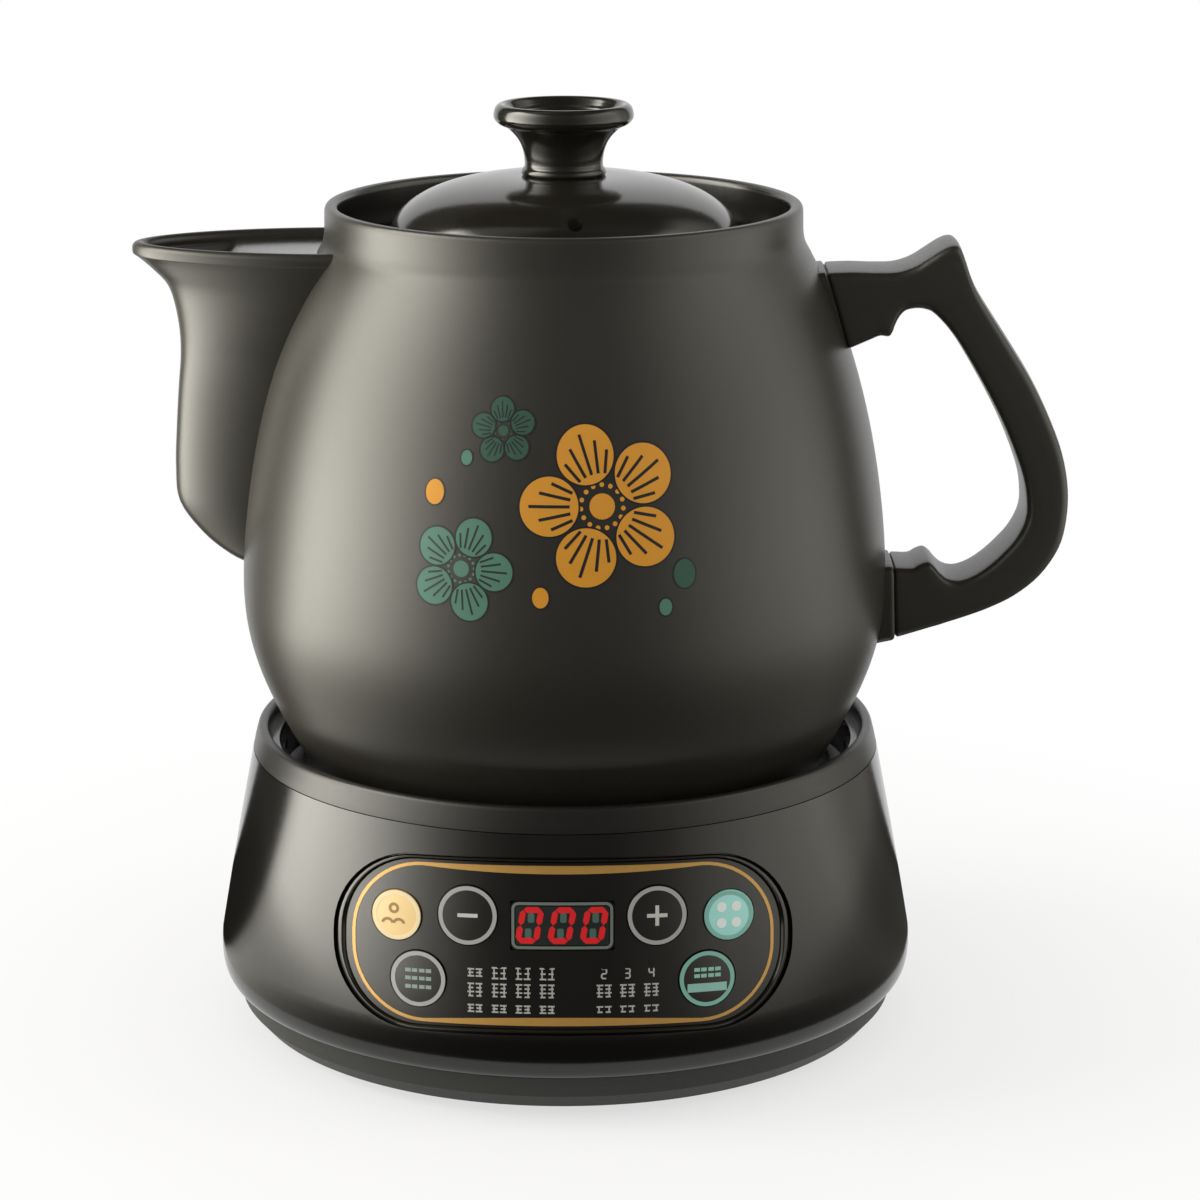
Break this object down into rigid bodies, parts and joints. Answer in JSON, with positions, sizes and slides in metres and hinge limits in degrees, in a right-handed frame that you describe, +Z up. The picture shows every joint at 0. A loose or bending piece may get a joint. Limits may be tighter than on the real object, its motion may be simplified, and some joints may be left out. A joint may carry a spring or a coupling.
{
  "type": "electric herbal decoction pot",
  "caption": "Dark glazed ceramic herbal medicine pot with beaked spout, loop handle and lift-off lid, standing in a round black heating base with a curved key panel.",
  "frame": {"origin": "centre of the round base on the surface it stands on", "axes": "+Z up, spout towards -X, handle towards +X, control panel towards -Y"},
  "size_m": [0.3125, 0.237, 0.3118],
  "materials": {
    "glaze": "satin glaze",
    "black_shell": "polished black",
    "ring_plastic": "satin black",
    "dark_plastic": "matte",
    "foot_rubber": "matte",
    "steel": "brushed",
    "alloy": "cast and turned",
    "insulation": "pressed fibre",
    "board": "solder mask",
    "component": "moulded",
    "copper": "wound wire",
    "wire": "sheathed",
    "gilt": "gilt line",
    "lens": "smoked",
    "light_pipe": "clear",
    "key_grey": "black cap with a grey ring",
    "key_amber": "lit amber",
    "key_aqua": "lit aqua"
  },
  "bodies": {
    "base": {"outer_shell": "black_shell", "top_ring": "ring_plastic", "bottom_housing": "dark_plastic", "rubber_feet": "foot_rubber", "housing_screws": "steel", "reflector_pan": "steel", "heating_plate": "alloy", "heating_tube": "steel", "plate_standoffs": "steel", "plate_screws": "steel", "insulation_disc": "insulation", "thermal_fuse": "insulation", "sensor_bracket": "steel", "sensor_spring": "steel", "power_board": "board", "transformer": "copper", "relay": "component", "capacitor": "component", "terminal_block": "component", "inlet_socket": "dark_plastic", "inlet_pins": "steel", "inlet_screws": "steel", "mains_wires": "wire", "heater_wires": "wire", "ribbon_cable": "wire", "panel_bezel": "black_shell", "panel_fascia": "black_shell", "gilt_trim": "gilt", "display_lens": "lens", "led_display": "component", "display_spacer": "dark_plastic", "light_guides": "light_pipe", "control_board": "board", "board_screws": "steel", "key_switches": "component"},
    "pot": {"pot_body": "glaze", "spout": "glaze", "pot_handle": "glaze"},
    "lid": {"lid": "glaze", "lid_knob": "glaze"},
    "sensor": {"sensor_cap": "alloy"},
    "key_minus": {"key_minus": "key_grey"},
    "key_plus": {"key_plus": "key_grey"},
    "key_amber": {"key_amber": "key_amber"},
    "key_aqua": {"key_aqua": "key_aqua"},
    "key_left": {"key_left": "key_grey"},
    "key_right": {"key_right": "key_grey"}
  },
  "joints": [
    {"name": "pot_lift", "type": "slide", "parent": "base", "child": "pot", "axis": [0, 0, 1], "range_m": [0, 0.12]},
    {"name": "lid_lift", "type": "slide", "parent": "pot", "child": "lid", "axis": [0, 0, 1], "range_m": [0, 0.06]},
    {"name": "sensor_press", "type": "slide", "parent": "base", "child": "sensor", "axis": [0, 0, -1], "range_m": [0, 0.0025], "stiffness_N_per_m": 400, "deforming": ["sensor_spring"]},
    {"name": "key_minus_press", "type": "slide", "parent": "base", "child": "key_minus", "axis": [0, 0.9833, -0.1818], "range_m": [0, 0.0006], "stiffness_N_per_m": 900},
    {"name": "key_plus_press", "type": "slide", "parent": "base", "child": "key_plus", "axis": [0, 0.9833, -0.1818], "range_m": [0, 0.0006], "stiffness_N_per_m": 900},
    {"name": "key_amber_press", "type": "slide", "parent": "base", "child": "key_amber", "axis": [0, 0.9833, -0.1818], "range_m": [0, 0.0006], "stiffness_N_per_m": 900},
    {"name": "key_aqua_press", "type": "slide", "parent": "base", "child": "key_aqua", "axis": [0, 0.9833, -0.1818], "range_m": [0, 0.0006], "stiffness_N_per_m": 900},
    {"name": "key_left_press", "type": "slide", "parent": "base", "child": "key_left", "axis": [0, 0.9833, -0.1818], "range_m": [0, 0.0006], "stiffness_N_per_m": 900},
    {"name": "key_right_press", "type": "slide", "parent": "base", "child": "key_right", "axis": [0, 0.9833, -0.1818], "range_m": [0, 0.0006], "stiffness_N_per_m": 900}
  ]
}
